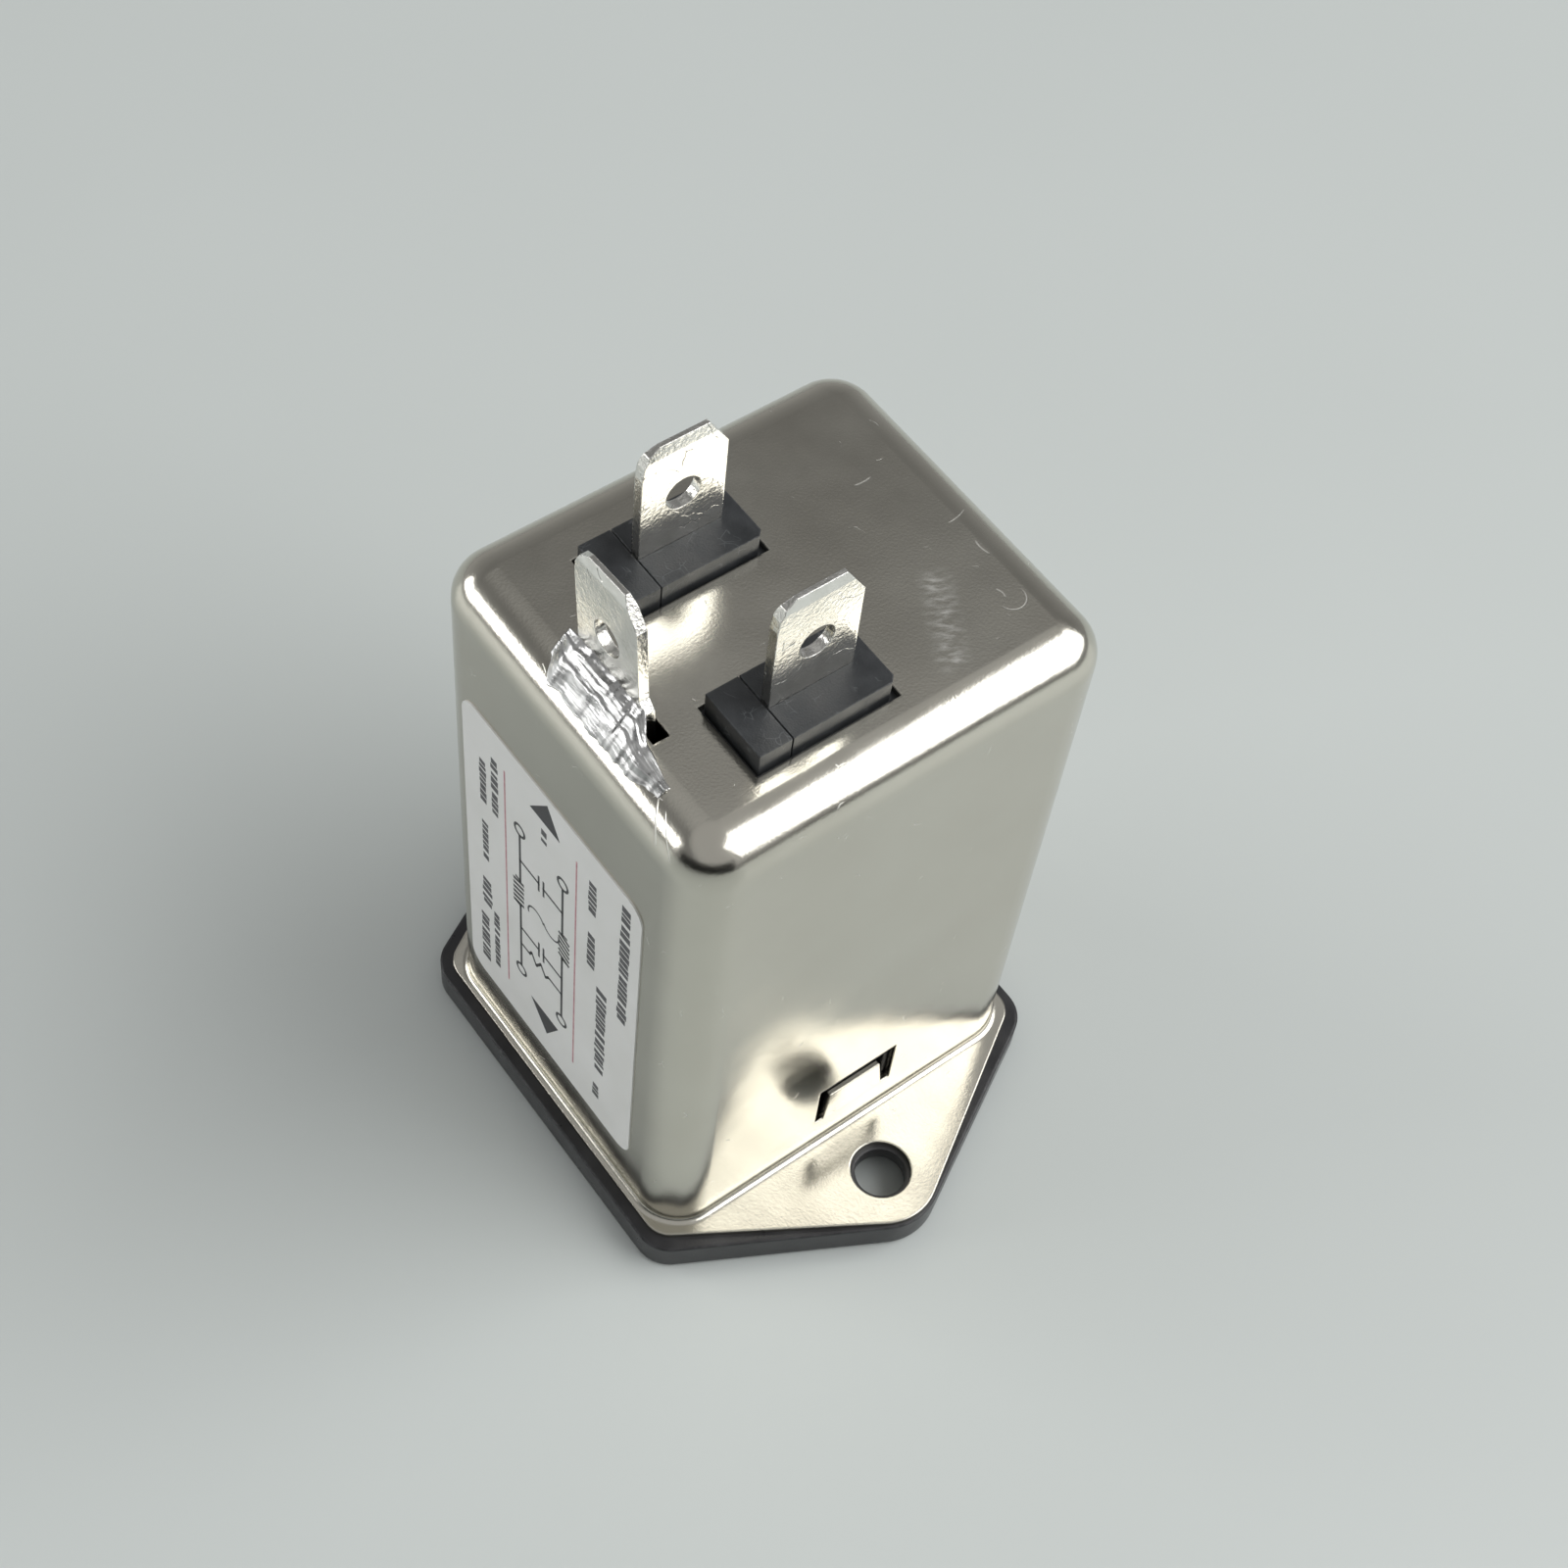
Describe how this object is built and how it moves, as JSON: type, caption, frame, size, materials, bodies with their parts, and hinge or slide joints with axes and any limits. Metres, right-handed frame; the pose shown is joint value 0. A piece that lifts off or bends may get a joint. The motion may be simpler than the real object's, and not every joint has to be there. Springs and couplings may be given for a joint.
{
  "type": "inlet emi line filter",
  "caption": "Mains appliance inlet with a built-in line filter in a drawn steel can: screw flange with socket on one end, blade terminals on the other.",
  "frame": {"origin": "centre of the flange's front face, midway between the two screw holes, where the filter rests", "axes": "+Z from the socket face through the can to the blade terminals, X through the two screw holes, printed label on the -Y side"},
  "size_m": [0.0494, 0.037, 0.0661],
  "materials": {
    "can_steel": "satin nickel plate over drawn steel",
    "inlet_moulding": "fine spark-eroded matt",
    "pin_metal": "bright nickel plate on brass",
    "insulator_moulding": "satin",
    "tinned_blade": "bright tin plate on brass strip",
    "solder": "bright, streaked as it froze",
    "label_film": null,
    "liner_film": "satin insulating film",
    "core_coating": "satin epoxy coat on ferrite",
    "divider_plastic": "satin",
    "enamelled_wire": "glossy enamel on copper",
    "film_capacitor": "glossy",
    "disc_capacitor": "glossy dipped coat",
    "resistor_body": "glossy lacquer with colour bands",
    "lead_insulation": "satin sleeve"
  },
  "bodies": {
    "root": {"steel_can": "can_steel", "inlet_housing": "inlet_moulding", "live_pin": "pin_metal", "neutral_pin": "pin_metal", "earth_pin": "pin_metal", "live_insulator": "insulator_moulding", "neutral_insulator": "insulator_moulding", "live_tab": "tinned_blade", "neutral_tab": "tinned_blade", "earth_tab": "tinned_blade", "earth_solder": "solder", "printed_label": "label_film", "insulating_liner": "liner_film", "choke_core": "core_coating", "choke_divider": "divider_plastic", "live_winding": "enamelled_wire", "neutral_winding": "enamelled_wire", "x_capacitor": "film_capacitor", "live_y_capacitor": "disc_capacitor", "neutral_y_capacitor": "disc_capacitor", "bleed_resistor": "resistor_body", "earth_lead": "lead_insulation"}
  },
  "joints": []
}
